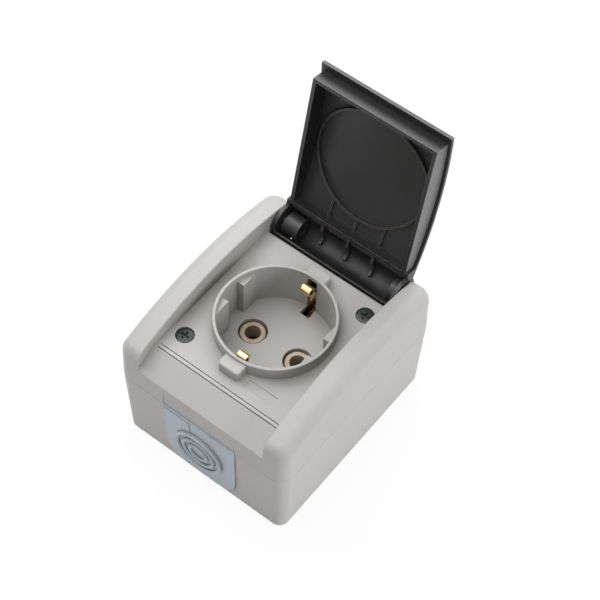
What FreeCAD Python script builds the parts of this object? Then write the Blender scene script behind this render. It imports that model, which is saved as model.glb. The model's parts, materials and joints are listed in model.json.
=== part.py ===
import FreeCAD, Part
import math
import os

V = FreeCAD.Vector

# Outline of box and cover at the parting plane
body_width = 69.6
body_length = 81.2
body_corner_r = 5.0
box_height = 32.6

# Back box: drafted walls, floor, foot rounding
box_draft = 1.3
box_wall = 2.2
box_floor = 2.4
foot_round = 0.8
parting_chamfer = 0.2

# Wall fixing holes in the box floor
fixing_pitch = 62.0
fixing_hole_r = 2.2
fixing_collar_r = 4.2
fixing_collar_height = 3.0

# Gasket in the rim of the box
gasket_width = 1.1
gasket_depth = 0.9
gasket_side_gap = 0.05

# Cover: draft, crown, roundings, walls
cover_draft = 0.5
crown_r = 125.0
crown_rise = 9.7
crown_margin = 3.7
crown_y = 3.0
crown_round = 4.6
cover_wall = 2.3
cover_roof = 3.0

# Recess between the cheeks, with plate, sloping apron and hinge pocket
cheek_width = 9.0
cheek_thickness = 2.2
plate_z = 46.6
plate_thickness = 2.2
apron_fall = 4.7
apron_run = 9.0
apron_front_inset = 0.1
cheek_edge_round = 0.5
pocket_r = 7.3
pocket_shell = 2.0
rear_wall_drop = 6.9
plate_rear_round = 0.9

# Two grooves across the plate in front of the socket well
groove_end_gap = 1.2
rear_groove_back = 1.7
rear_groove_width = 0.35
front_groove_back = 0.2
front_groove_width = 0.55
groove_depth = 0.6

# Bare label field beside the front lug
label_x = 12.4
label_back = 7.3
label_length = 11.8
label_width = 3.5
label_depth = 0.3

# Rim tongue of the cover that enters the box
tongue_depth = 3.0
tongue_thickness = 1.4
tongue_gap = 0.4
tongue_opening = 18.0

# Socket well
well_y = -0.95
well_r = 19.65
collar_wall = 1.1
skirt_wall = 1.7
rim_rise = 5.3
rim_round = 0.35
well_depth = 17.9
well_floor_thickness = 2.0
pin_pitch = 19.0
boss_hole_r = 5.1
guide_flat_x = 16.6
guide_drop = 2.2
guide_channel = 8.0
lug_width = 8.4
lug_reach = 4.2
lug_drop = 1.1
lug_corner_round = 1.2
lug_top_round = 0.6
earth_slot_width = 3.8
earth_slot_inner = 15.75
earth_slot_outer = 23.4
earth_slot_drop = 2.0

# Screws that hold the cover, on one diagonal
cover_screw_x = 20.6
cover_screw_dy = 21.5
cover_screw_boss_r = 4.4
cover_screw_boss_z = 30.2
counterbore_r = 3.25
counterbore_depth = 3.0
cover_screw_head_r = 3.05
cover_screw_sunk = 0.15
cover_screw_dome = 0.3
cover_screw_shank_r = 1.75
cover_screw_end_z = 20.0
cover_screw_clearance = 0.15
cover_post_r = 3.6
cover_post_bore_r = 1.85
seal_thickness = 0.6

# Entry grommet in the front wall
notch_half_top = 15.1
notch_half_foot = 14.4
notch_foot_z = 1.3
notch_corner_r = 8.5
notch_reach = 12.0
grommet_gap = 0.15
grommet_proud = 0.4
grommet_flange = 1.3
grommet_flange_edge = 1.2
ring_x = -0.4
ring_z = 16.9
ring_height = 1.3
ring_floor = 0.45
ring_edge = 0.45
outer_ring_r = 9.8
middle_ring_r = 7.1
inner_ring_r = 4.3
ring_width = 1.5
flap_edge_x = -3.9
flap_top_z = 31.9
flap_foot_z = 10.0
flap_thickness = 0.25
panel_recess = 0.2
panel_top_z = 40.6

# Contact insert
carrier_length = 50.0
carrier_width = 29.0
carrier_corner_r = 3.0
carrier_foot_z = 9.6
carrier_top_z = 27.0
carrier_boss_r = 4.45
carrier_boss_drop = 0.8
carrier_bore_r = 2.8
sleeve_bore_r = 2.42
sleeve_wall = 0.53
sleeve_gap = 0.15
sleeve_foot_z = 12.0
sleeve_top_z = 26.0
sleeve_slit = 0.8
strap_width = 4.0
strap_thickness = 1.0
strap_z = 20.0
clamp_length = 7.0
clamp_inset = 1.0
clamp_width = 8.0
clamp_foot_z = 14.0
clamp_height = 9.0
clamp_wire_r = 1.5
clamp_wire_z = 17.0
terminal_screw_r = 1.55
terminal_screw_foot_z = 19.0
terminal_head_r = 2.4
terminal_head_height = 2.0
terminal_head_z = 24.2
screw_hole_gap = 0.1
pocket_gap = 0.2
retainer_thickness = 1.6
retainer_inset = 2.0
rivet_r = 1.5
rivet_head_r = 2.6
rivet_head_height = 0.8
carrier_screw_inset_x = 4.0
carrier_screw_inset_y = 3.5
carrier_screw_r = 1.6
carrier_screw_head_r = 2.8
carrier_screw_head = 2.0
carrier_screw_end_z = 3.5
carrier_post_r = 3.2

# Earth bracket with its rolled contact noses
strip_width = 3.5
strip_thickness = 0.9
arm_y = 20.8
arm_bend_z = 43.0
nose_reach = 17.0
nose_drop = 4.1
nose_r = 1.85
nose_eye_r = 0.9
earth_screw_inset = 3.0
earth_screw_r = 1.5
earth_head_r = 2.8
earth_head_height = 2.0
earth_plate_length = 7.0
earth_plate_width = 6.0
earth_plate_thickness = 1.0
earth_screw_end_z = 20.0

# Lid hinge
hinge_setback = 5.7
open_angle = 101.0
pin_r = 1.5
pin_gap = 0.05
pin_depth = 4.7
pin_boss_r = 3.2
pin_boss_cap = 1.3
right_pin_gap = 0.2

# Lid, described in its closed position from the hinge axis
lid_side_gap = 0.5
lid_thickness = 1.6
lid_edge_above_hinge = 0.5
lid_crown_r = 125.0
lid_crown_reach = 40.0
lid_crown_height = 9.8
lid_tip_reach = 65.6
roll_r = 6.5
roll_lip_angle = -79.0
roll_lip_edge = 0.5
roll_lip_taper = 26.0
lid_edge_round = 0.5
lid_skirt_inset = 1.2
lid_skirt_thickness = 1.3
lid_front_root = 62.4
lid_front_edge = 63.0
lid_front_thickness = 1.4
cross_wall_reach = 7.8
cross_wall_thickness = 1.3
lid_ring_outer_r = 22.0
lid_ring_thickness = 0.8
lid_ring_height = 1.5
lid_rib_pitch = 10.5
lid_rib_thickness = 1.0
lid_rib_height = 0.8
roll_rib_height = 1.5
roll_rib_end_angle = 31.0
end_disc_thickness = 1.3
barrel_r = 4.2
spring_bore_r = 2.75
left_barrel_length = 8.7
left_barrel_gap = 1.3
left_barrel_cap = 1.2
barrel_sunk = 0.3
window_drop = 0.4
right_barrel_length = 4.0

# Lid spring
spring_mean_r = 2.15
spring_wire_r = 0.3
spring_turns = 4.0
spring_pitch = 1.3
spring_side_gap = 0.4
spring_leg_angle = 200.0
spring_leg_gap = 0.3

# Derived positions
cheek_inner_x = body_width / 2 - cheek_width
crown_top_z = plate_z + crown_rise
cover_draft_height = crown_top_z + crown_margin - box_height
apron_front_z = plate_z - apron_fall
apron_front_y = body_length / 2 - apron_front_inset
apron_top_y = apron_front_y - apron_run
rear_wall_top_z = plate_z - rear_wall_drop
rear_groove_y = rear_groove_back - apron_top_y
front_groove_y = front_groove_back - apron_top_y
label_y = label_back - apron_top_y
clamp_inner_x = carrier_length / 2 - clamp_inset - clamp_length
carrier_screw_x = carrier_length / 2 - carrier_screw_inset_x
carrier_screw_dy = carrier_width / 2 - carrier_screw_inset_y
earth_screw_dy = carrier_width / 2 - earth_screw_inset
groove_half_length = cheek_inner_x - groove_end_gap
rim_z = plate_z + rim_rise
well_floor_z = rim_z - well_depth
guide_top_z = rim_z - guide_drop
lug_top_z = rim_z - lug_drop
earth_slot_top_z = rim_z - earth_slot_drop
counterbore_z = plate_z - counterbore_depth
cover_screw_head_top_z = plate_z - cover_screw_sunk
nose_z = rim_z - nose_drop
hinge_y = body_length / 2 - hinge_setback
hinge_z = plate_z
hinge = V(0, hinge_y, hinge_z)
lid_half_width = cheek_inner_x - lid_side_gap
lid_skirt_x = lid_half_width - lid_skirt_inset
left_barrel_inner_x = lid_half_width - left_barrel_length
right_barrel_inner_x = lid_half_width - right_barrel_length
pin_outer_x = cheek_inner_x + pin_depth
pin_boss_end_x = pin_outer_x + pin_boss_cap
left_pin_inner_x = left_barrel_inner_x + left_barrel_cap
right_pin_inner_x = right_barrel_inner_x + right_pin_gap
pin_x = pin_pitch / 2
well_floor_under = well_floor_z - well_floor_thickness
collar_r = well_r + collar_wall
skirt_r = well_r + skirt_wall
lid_skirt_inner = lid_skirt_x - lid_skirt_thickness
disc_inner_x = lid_half_width - end_disc_thickness
spring_start_x = spring_side_gap - disc_inner_x
roll_inner_r = roll_r - lid_thickness
bracket_top_z = carrier_top_z + strip_thickness
retainer_z = carrier_foot_z - retainer_thickness
sleeve_r = sleeve_bore_r + sleeve_wall
head_foot_z = counterbore_z + seal_thickness
apron_slope = (plate_z - apron_front_z) / (apron_front_y - apron_top_y)
wall_slope = box_draft / box_height


def block(x0, x1, y0, y1, z0, z1):
    """Rectangular block between two corners."""
    return Part.makeBox(x1 - x0, y1 - y0, z1 - z0, V(x0, y0, z0))


def round_bar(r, start, end):
    """Cylinder from one point to another."""
    run = end - start
    return Part.makeCylinder(r, run.Length, start, run)


def post(r, x, y, z0, z1):
    """Upright cylinder."""
    return round_bar(r, V(x, y, z0), V(x, y, z1))


def cross_bar(r, x0, x1, y, z):
    """Cylinder that lies along X."""
    return round_bar(r, V(x0, y, z), V(x1, y, z))


def crown_bar(r, half_length, y, z):
    """Large cylinder along X with its seam underneath."""
    bar = cross_bar(r, -half_length, half_length, y, z)
    bar.rotate(V(0, y, z), V(1, 0, 0), 180)
    return bar


def fuse_all(first, others):
    """One solid from overlapping ones, with seams merged."""
    return first.multiFuse(others).removeSplitter()


def solid_of(shape):
    """The largest solid of a result."""
    return sorted(shape.Solids, key=lambda s: s.Volume)[-1]


def side_profile(points, x0, x1):
    """Polygon of (y, z) points drawn out along X."""
    corners = [V(x0, y, z) for y, z in points]
    face = Part.Face(Part.makePolygon(corners + corners[:1]))
    return face.extrude(V(x1 - x0, 0, 0))


def front_profile(points, y0, y1):
    """Polygon of (x, z) points drawn out along Y."""
    corners = [V(x, y0, z) for x, z in points]
    face = Part.Face(Part.makePolygon(corners + corners[:1]))
    return face.extrude(V(0, y1 - y0, 0))


def turned(points, origin, axis):
    """Solid of revolution about an axis, from (radius, height) points."""
    side = V(1, 0, 0) if abs(axis.x) < 0.5 else V(0, 1, 0)
    corners = [origin + side * r + axis * h for r, h in points]
    face = Part.Face(Part.makePolygon(corners + corners[:1]))
    return face.revolve(origin, axis, 360)


def rounded_wire(half_x, half_y, r, z):
    """Closed rounded rectangle at one height."""
    centres = [(half_x - r, half_y - r), (r - half_x, half_y - r),
               (r - half_x, r - half_y), (half_x - r, r - half_y)]
    edges = []
    for i, (cx, cy) in enumerate(centres):
        turn = [math.radians(90 * i + step) for step in (0, 45, 90)]
        arc = [V(cx + r * math.cos(a), cy + r * math.sin(a), z) for a in turn]
        nx, ny = centres[(i + 1) % 4]
        side_end = V(nx + r * math.cos(turn[2]), ny + r * math.sin(turn[2]), z)
        edges.append(Part.Arc(*arc).toShape())
        edges.append(Part.LineSegment(arc[2], side_end).toShape())
    return Part.Wire(edges)


def rounded_slab(half_x, half_y, r, z0, z1):
    """Upright rounded block."""
    face = Part.Face(rounded_wire(half_x, half_y, r, z0))
    return face.extrude(V(0, 0, z1 - z0))


def edges_where(shape, test):
    """Edges whose middle point passes a test."""
    found = []
    for edge in shape.Edges:
        middle = edge.valueAt((edge.FirstParameter + edge.LastParameter) / 2)
        if test(middle):
            found.append(edge)
    return found


def tapered_block(half0, z0, half1, z1):
    """Four-sided block with flat leaning walls between two rectangles."""
    turns = ((1, 1), (-1, 1), (-1, -1), (1, -1))
    low = [V(half0[0] * i, half0[1] * j, z0) for i, j in turns]
    high = [V(half1[0] * i, half1[1] * j, z1) for i, j in turns]
    under = low[::-1]
    faces = [Part.Face(Part.makePolygon(under + under[:1])), Part.Face(Part.makePolygon(high + high[:1]))]
    for i in range(4):
        n = (i + 1) % 4
        faces.append(Part.Face(Part.makePolygon([low[i], low[n], high[n], high[i], low[i]])))
    return Part.makeSolid(Part.makeShell(faces))


def drafted_block(grow0, z0, grow1, z1):
    """Block round four fixed corner centres: flat leaning sides and conical corners."""
    cx = body_width / 2 - body_corner_r
    cy = body_length / 2 - body_corner_r
    wide = tapered_block((cx + grow0, cy), z0, (cx + grow1, cy), z1)
    long = tapered_block((cx, cy + grow0), z0, (cx, cy + grow1), z1)
    corners = []
    for turn, (i, j) in enumerate(((1, 1), (-1, 1), (-1, -1), (1, -1))):
        centre = V(i * cx, j * cy, z0)
        if grow0 == grow1:
            cone = Part.makeCylinder(grow0, z1 - z0, centre, V(0, 0, 1), 90)
        else:
            cone = Part.makeCone(grow0, grow1, z1 - z0, centre, V(0, 0, 1), 90)
        cone.rotate(centre, V(0, 0, 1), 90 * turn)
        corners.append(cone)
    return solid_of(fuse_all(wide, [long] + corners))


def box_grow(z, inset):
    """Distance from the corner centres to the box wall at a height."""
    return body_corner_r - box_draft * (1 - z / box_height) - inset


def box_block(z0, z1, inset):
    """Drafted block inside the box outline."""
    return drafted_block(box_grow(z0, inset), z0, box_grow(z1, inset), z1)


def front_layer(depth0, depth1):
    """Leaning slab that follows the front wall of the box between two depths."""
    z0, z1 = -1, box_height + 2
    points = [(front_y(z0) + depth0, z0), (front_y(z1) + depth0, z1),
              (front_y(z1) + depth1, z1), (front_y(z0) + depth1, z0)]
    return side_profile(points, -body_width / 2, body_width / 2)


def front_y(z):
    """Outer face of the front wall of the box at a height."""
    return -(body_length / 2 - box_draft) - wall_slope * z


def cover_half(z, inset):
    """Half length and half width of the cover at a height, moved inwards."""
    rise = (z - box_height) / cover_draft_height
    return body_width / 2 - cover_draft * rise - inset, body_length / 2 - cover_draft * rise - inset


def crowned_block(z0, inset, drop):
    """Drafted block under the crown, its corners and top loop rounded."""
    top = box_height + cover_draft_height
    shape = tapered_block(cover_half(z0, inset), z0, cover_half(top, inset), top)

    def on_corner(p):
        half_x, half_y = cover_half(p.z, inset)
        return abs(abs(p.x) - half_x) < 0.001 and abs(abs(p.y) - half_y) < 0.001

    shape = shape.makeFillet(body_corner_r - inset, edges_where(shape, on_corner))
    r = crown_r - drop
    centre_z = crown_top_z - crown_r
    shape = shape.common(crown_bar(r, body_width, crown_y, centre_z))

    def on_crown(p):
        return abs(math.hypot(p.y - crown_y, p.z - centre_z) - r) < 0.001

    return shape.makeFillet(crown_round - inset, edges_where(shape, on_crown))


def notch_block(gap, foot_z, top_z, r):
    """Grommet opening shrunk by a gap, drawn out through the front wall."""
    lean = (notch_half_top - notch_half_foot) / (box_height - notch_foot_z)
    half_top = notch_half_top - gap
    half_foot = half_top - lean * (box_height - foot_z)
    points = [(half_top, top_z), (-half_top, top_z), (-half_foot, foot_z), (half_foot, foot_z)]
    front = -body_length / 2
    shape = front_profile(points, front - notch_reach, front + notch_reach)

    def at_foot(p):
        return abs(p.z - foot_z) < 0.001 and abs(abs(p.x) - half_foot) < 0.001

    return shape.makeFillet(r, edges_where(shape, at_foot))


def cover_screw_spots():
    """Places of the two cover screws."""
    return [(-cover_screw_x, well_y - cover_screw_dy), (cover_screw_x, well_y + cover_screw_dy)]


def carrier_screw_spots():
    """Places of the two carrier screws."""
    return [(-carrier_screw_x, well_y + carrier_screw_dy), (carrier_screw_x, well_y - carrier_screw_dy)]


def make_back_box():
    """Drafted open box with posts, fixing collars, gasket groove and entry notch."""
    shell = box_block(0, box_height, 0)
    shell = shell.makeFillet(foot_round, edges_where(shell, lambda p: abs(p.z) < 0.001))
    rim = edges_where(shell, lambda p: abs(p.z - box_height) < 0.001)
    shell = shell.makeChamfer(parting_chamfer, rim)
    shell = shell.cut(box_block(box_floor, box_height + 1, box_wall))
    added = []
    removed = []
    for x, y in cover_screw_spots():
        side = math.copysign(1, x)
        wall_x = side * (body_width / 2 - box_draft - box_wall / 2)
        added.append(post(cover_post_r, x, y, box_floor - 0.5, cover_screw_boss_z))
        x0, x1 = sorted((x, wall_x))
        added.append(block(x0, x1, y - 0.8, y + 0.8, box_floor - 0.5, cover_screw_end_z))
        removed.append(post(cover_post_bore_r, x, y, box_floor + 2, cover_screw_boss_z + 1))
    for x, y in carrier_screw_spots():
        added.append(post(carrier_post_r, x, y, box_floor - 0.5, retainer_z))
        bore = carrier_screw_r + screw_hole_gap
        removed.append(post(bore, x, y, carrier_screw_end_z - 0.5, retainer_z + 1))
    for side in (-1, 1):
        y = side * fixing_pitch / 2
        top = box_floor + fixing_collar_height
        added.append(post(fixing_collar_r, 0, y, box_floor - 0.5, top))
        removed.append(post(fixing_hole_r, 0, y, -1, top + 1))
    shell = fuse_all(shell, added)
    groove_outer = (box_wall - gasket_width) / 2 - gasket_side_gap
    groove_z = box_height - gasket_depth
    groove = gasket_ring(groove_outer, gasket_width + 2 * gasket_side_gap, groove_z, box_height + 1)
    removed.append(groove)
    notch = notch_block(0, notch_foot_z, box_height + 1, notch_corner_r)
    removed.append(notch.common(front_layer(-2, box_wall)))
    for piece in removed:
        shell = shell.cut(piece)
    return solid_of(shell)


def gasket_ring(inset, width, z0, z1):
    """Upright ring that follows the rim of the box."""
    half_x = body_width / 2 - inset
    half_y = body_length / 2 - inset
    r = body_corner_r - inset
    outer = rounded_slab(half_x, half_y, r, z0, z1)
    inner = rounded_slab(half_x - width, half_y - width, r - width, z0 - 1, z1 + 1)
    return outer.cut(inner)


def make_cover_gasket():
    """Gasket strip in the rim groove, open where the grommet stands."""
    inset = (box_wall - gasket_width) / 2
    ring = gasket_ring(inset, gasket_width, box_height - gasket_depth, box_height)
    half = notch_half_top + grommet_gap
    return solid_of(ring.cut(block(-half, half, -body_length, 0, 0, body_length)))


def make_grommet():
    """Soft entry grommet: web in the notch, flange behind it, ringed knock-through."""
    web = notch_block(grommet_gap, notch_foot_z + grommet_gap, box_height, notch_corner_r)
    back = box_wall + grommet_gap + grommet_flange
    floor_z = box_floor + grommet_gap
    above_floor = block(-body_width / 2, body_width / 2, -body_length, 0, floor_z, box_height)
    neck = web.common(above_floor).common(front_layer(0, back))
    lip = notch_block(-grommet_flange_edge, floor_z, box_height - grommet_gap, notch_corner_r)
    lip = lip.common(front_layer(box_wall + grommet_gap, back))
    face = web.common(front_layer(-grommet_proud, box_wall))
    return solid_of(fuse_all(face, [neck, lip, ringed_boss(), entry_flap()]))


def grommet_face_y(z):
    """Front face of the grommet at a height."""
    return front_y(z) - grommet_proud


def ringed_boss():
    """Three concentric rings on a low disc, square to the drafted wall."""
    points = [(0, -0.6), (0, ring_floor)]
    for r in (inner_ring_r, middle_ring_r, outer_ring_r):
        a = r - ring_width
        points.append((a, ring_floor))
        points.append((a, ring_height - ring_edge))
        points.append((a + ring_edge, ring_height))
        points.append((r - ring_edge, ring_height))
        points.append((r, ring_height - ring_edge))
        points.append((r, ring_floor))
    points[-1] = (outer_ring_r, -0.6)
    boss = turned(points, V(0, 0, 0), V(0, -1, 0))
    boss.rotate(V(0, 0, 0), V(1, 0, 0), math.degrees(math.atan(wall_slope)))
    boss.translate(V(ring_x, grommet_face_y(ring_z), ring_z))
    return boss


def entry_flap():
    """Thin step on the upper left of the grommet that fades out downwards."""
    top_y = grommet_face_y(flap_top_z)
    foot_y = grommet_face_y(flap_foot_z)
    points = [(top_y - flap_thickness, flap_top_z), (foot_y, flap_foot_z),
              (foot_y + grommet_proud, flap_foot_z), (top_y + grommet_proud, flap_top_z)]
    return side_profile(points, -notch_half_top + 3 * grommet_gap, flap_edge_x)


def recess_points(depth, pocket_floor):
    """Profile of the space between the cheeks, moved down by a depth."""
    far = body_length
    fall = depth * math.hypot(1, apron_slope)
    front_z = apron_front_z - apron_slope * (far - apron_front_y) - fall
    top_y = -apron_top_y + (depth - fall) / apron_slope if depth else -apron_top_y
    return [(-far, front_z), (top_y, plate_z - depth), (hinge_y, plate_z - depth),
            (hinge_y, pocket_floor), (far, pocket_floor), (far, far * 2), (-far, far * 2)]


def recess_block(half_x, depth, pocket, wall_top):
    """Space between the cheeks, with the round hinge pocket."""
    space = side_profile(recess_points(depth, wall_top), -half_x, half_x)
    return space.fuse(cross_bar(pocket, -half_x, half_x, hinge_y, hinge_z))


def make_lug(side):
    """Hollow lug outside the collar, over one earth contact."""
    y_in = well_r + collar_wall / 2
    y_out = collar_r + lug_reach
    y0, y1 = sorted((side * y_in, side * y_out))
    half = lug_width / 2
    lug = block(-half, half, well_y + y0, well_y + y1, plate_z - plate_thickness, lug_top_z)
    face_y = well_y + side * y_out

    def upright(p):
        return abs(p.y - face_y) < 0.001 and abs(abs(p.x) - half) < 0.001

    lug = lug.makeFillet(lug_corner_round, edges_where(lug, upright))

    def top_edge(p):
        return abs(p.z - lug_top_z) < 0.001 and abs(p.y - well_y - side * y_in) > 0.001

    return lug.makeFillet(lug_top_round, edges_where(lug, top_edge))


def make_guides():
    """Chord blocks inside the well, each side split by a channel."""
    reach = well_r + 0.3
    ring = post(reach, 0, well_y, well_floor_z - 0.3, guide_top_z)
    ring = ring.cut(block(-guide_flat_x, guide_flat_x, well_y - reach, well_y + reach, 0, rim_z))
    half = guide_channel / 2
    return ring.cut(block(-reach, reach, well_y - half, well_y + half, 0, rim_z))


def make_tongue():
    """Rim that enters the box and locates the cover."""
    half_x = body_width / 2 - box_wall - tongue_gap
    half_y = body_length / 2 - box_wall - tongue_gap
    r = body_corner_r - box_wall - tongue_gap
    low = box_height - tongue_depth
    tall = box_height + 2
    outer = rounded_slab(half_x, half_y, r, low, tall)
    root = rounded_slab(half_x + 1, half_y + 1, r + 1, box_height, tall)
    inner = rounded_slab(half_x - tongue_thickness, half_y - tongue_thickness, r - tongue_thickness,
                         low - 1, tall + 1)
    ring = outer.fuse(root).cut(inner)
    half = tongue_opening
    return ring.cut(block(-half, half, -body_length, -body_length / 4, 0, box_height))


def make_front_cover():
    """One-piece cover: cheeks, apron, plate, collar, well, lugs, bosses, hinge pocket."""
    outer = crowned_block(box_height, 0, 0)
    rim = edges_where(outer, lambda p: abs(p.z - box_height) < 0.001)
    outer = outer.makeChamfer(parting_chamfer, rim)
    inner = crowned_block(box_height - 1, cover_wall, cover_roof)
    keep_x = cheek_inner_x + cheek_thickness
    wall_foot = rear_wall_top_z - plate_thickness
    keep = recess_block(keep_x, plate_thickness, pocket_r + pocket_shell, wall_foot)
    recess = recess_block(cheek_inner_x, 0, pocket_r, rear_wall_top_z)
    cover = round_cheeks(outer.cut(recess)).cut(inner.cut(keep))
    cover = round_plate_rear(cover)
    added = [post(collar_r, 0, well_y, plate_z - 0.5, rim_z)]
    added.append(post(skirt_r, 0, well_y, well_floor_under, plate_z - 0.3))
    added.append(make_tongue())
    for side in (-1, 1):
        added.append(make_lug(side))
        x0, x1 = sorted((side * (keep_x - 0.5), side * pin_boss_end_x))
        added.append(cross_bar(pin_boss_r, x0, x1, hinge_y, hinge_z))
        x0, x1 = sorted((side * (skirt_r - 0.5), side * (body_width / 2 - cover_wall / 2)))
        added.append(block(x0, x1, well_y - 0.8, well_y + 0.8, well_floor_z + 2, plate_z - 1))
    for x, y in cover_screw_spots():
        added.append(post(cover_screw_boss_r, x, y, cover_screw_boss_z, plate_z - 0.3))
    cover = fuse_all(cover, added)
    cover = cover.cut(post(well_r, 0, well_y, well_floor_z, rim_z + 1))
    cover = cover.fuse(make_guides())
    for piece in cover_cuts():
        cover = cover.cut(piece)
    cover = round_rim(cover)
    return solid_of(cover)


def round_cheeks(cover):
    """Round the inner top edges of both cheeks."""
    def inner_top(p):
        return abs(abs(p.x) - cheek_inner_x) < 0.001 and p.z > plate_z + 2

    return cover.makeFillet(cheek_edge_round, edges_where(cover, inner_top))


def round_plate_rear(cover):
    """Round the edge where the plate falls into the hinge pocket."""
    edge_y = hinge_y - pocket_r

    def rear_edge(p):
        return abs(p.y - edge_y) < 0.01 and abs(p.z - plate_z) < 0.01 and abs(p.x) < 1

    return cover.makeFillet(plate_rear_round, edges_where(cover, rear_edge))


def round_rim(cover):
    """Soften both edges of the collar rim."""
    def on_rim(p):
        away = math.hypot(p.x, p.y - well_y)
        return abs(p.z - rim_z) < 0.001 and well_r - 0.1 < away < collar_r + 0.1

    return cover.makeFillet(rim_round, edges_where(cover, on_rim))


def cover_cuts():
    """Holes, slots, grooves and fields cut into the cover."""
    cuts = []
    half = earth_slot_width / 2
    for side in (-1, 1):
        cuts.append(post(boss_hole_r, side * pin_x, well_y, well_floor_under - 1, well_floor_z + 1))
        y0, y1 = sorted((well_y + side * earth_slot_inner, well_y + side * earth_slot_outer))
        cuts.append(block(-half, half, y0, y1, well_floor_under - 1, earth_slot_top_z))
        x0, x1 = sorted((side * (cheek_inner_x - 1), side * pin_outer_x))
        cuts.append(cross_bar(pin_r + pin_gap, x0, x1, hinge_y, hinge_z))
    for x, y in cover_screw_spots():
        cuts.append(post(counterbore_r, x, y, counterbore_z, plate_z + 1))
        cuts.append(post(cover_screw_shank_r + cover_screw_clearance, x, y, 0, plate_z + 1))
    for y, width in ((rear_groove_y, rear_groove_width), (front_groove_y, front_groove_width)):
        cuts.append(block(-groove_half_length, groove_half_length, y - width / 2, y + width / 2,
                          plate_z - groove_depth, plate_z + 1))
    label = rounded_slab(label_length / 2, label_width / 2, 0.4, plate_z - label_depth, plate_z + 1)
    label.translate(V(label_x, label_y, 0))
    cuts.append(label)
    face_y = -body_length / 2
    cuts.append(block(-notch_half_top, notch_half_top, face_y - 1, face_y + panel_recess,
                      box_height - 1, panel_top_z))
    return cuts


def make_cover_screws():
    """Domed screws with a shallow cross, in the counterbores of the plate."""
    screws = []
    edge_z = cover_screw_head_top_z - cover_screw_dome
    bite = cover_screw_head_r * 0.5
    for x, y in cover_screw_spots():
        points = [(0, cover_screw_end_z), (cover_screw_shank_r - 0.4, cover_screw_end_z),
                  (cover_screw_shank_r, cover_screw_end_z + 1), (cover_screw_shank_r, head_foot_z),
                  (cover_screw_head_r, head_foot_z), (cover_screw_head_r, edge_z),
                  (cover_screw_head_r * 0.8, edge_z + cover_screw_dome * 0.6),
                  (cover_screw_head_r * 0.4, cover_screw_head_top_z), (0, cover_screw_head_top_z)]
        screw = turned(points, V(x, y, 0), V(0, 0, 1))
        for dx, dy in ((bite, 0.4), (0.4, bite)):
            screw = screw.cut(block(x - dx, x + dx, y - dy, y + dy, edge_z - 0.6, plate_z + 1))
        screws.append(solid_of(screw))
    return Part.makeCompound(screws)


def make_cover_screw_seals():
    """Flat sealing washers under the screw heads."""
    seals = []
    for x, y in cover_screw_spots():
        ring = post(cover_screw_head_r - 0.1, x, y, counterbore_z, head_foot_z)
        bore = cover_screw_shank_r + cover_screw_clearance
        seals.append(ring.cut(post(bore, x, y, counterbore_z - 1, head_foot_z + 1)))
    return Part.makeCompound(seals)


def make_insert_carrier():
    """Ceramic carrier with two pin bosses, sleeve bores and terminal pockets."""
    body = rounded_slab(carrier_length / 2, carrier_width / 2, carrier_corner_r,
                        carrier_foot_z, carrier_top_z)
    body.translate(V(0, well_y, 0))
    boss_top = well_floor_z - carrier_boss_drop
    bosses = []
    cuts = []
    for side in (-1, 1):
        x = side * pin_x
        bosses.append(post(carrier_boss_r, x, well_y, carrier_top_z - 1, boss_top))
        cuts.append(post(carrier_bore_r, x, well_y, sleeve_top_z, boss_top + 1))
        cuts.append(post(sleeve_r + sleeve_gap, x, well_y, sleeve_foot_z, sleeve_top_z + 0.5))
        half = clamp_width / 2 + pocket_gap
        x0, x1 = sorted((side * (clamp_inner_x - pocket_gap), side * carrier_length))
        cuts.append(block(x0, x1, well_y - half, well_y + half, clamp_foot_z, carrier_top_z + 1))
        half = strap_width / 2 + pocket_gap
        x0, x1 = sorted((x, side * clamp_inner_x))
        cuts.append(block(x0, x1, well_y - half, well_y + half, strap_z - pocket_gap,
                          strap_z + strap_thickness + pocket_gap))
    for x, y in carrier_screw_spots():
        cuts.append(post(carrier_screw_r + pocket_gap, x, y, 0, carrier_top_z + 1))
    cuts.append(post(rivet_r + screw_hole_gap, 0, well_y, 0, carrier_top_z + 1))
    cuts.append(post(earth_screw_r + screw_hole_gap, 0, well_y - earth_screw_dy,
                     earth_screw_end_z - 0.5, carrier_top_z + 1))
    body = fuse_all(body, bosses)
    for piece in cuts:
        body = body.cut(piece)
    top_rings = edges_where(body, lambda p: abs(p.z - boss_top) < 0.001)
    outer_rings = [e for e in top_rings if e.Curve.Radius > carrier_bore_r + 0.5]
    return solid_of(body.makeFillet(0.5, outer_rings))


def make_contact_sleeve(side):
    """Slit pin sleeve with the strap that leads to its terminal."""
    x = side * pin_x
    tube = post(sleeve_r, x, well_y, sleeve_foot_z, sleeve_top_z)
    strap_half = strap_width / 2
    x0, x1 = sorted((x + side * (sleeve_bore_r + 0.1), side * clamp_inner_x))
    strap = block(x0, x1, well_y - strap_half, well_y + strap_half, strap_z, strap_z + strap_thickness)
    tube = tube.fuse(strap)
    tube = tube.cut(post(sleeve_bore_r, x, well_y, sleeve_foot_z - 1, sleeve_top_z + 1))
    x0, x1 = sorted((x, x - side * (sleeve_r + 1)))
    slit = block(x0, x1, well_y - sleeve_slit / 2, well_y + sleeve_slit / 2,
                 sleeve_foot_z + 1.5, sleeve_top_z + 1)
    return solid_of(tube.cut(slit))


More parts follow.
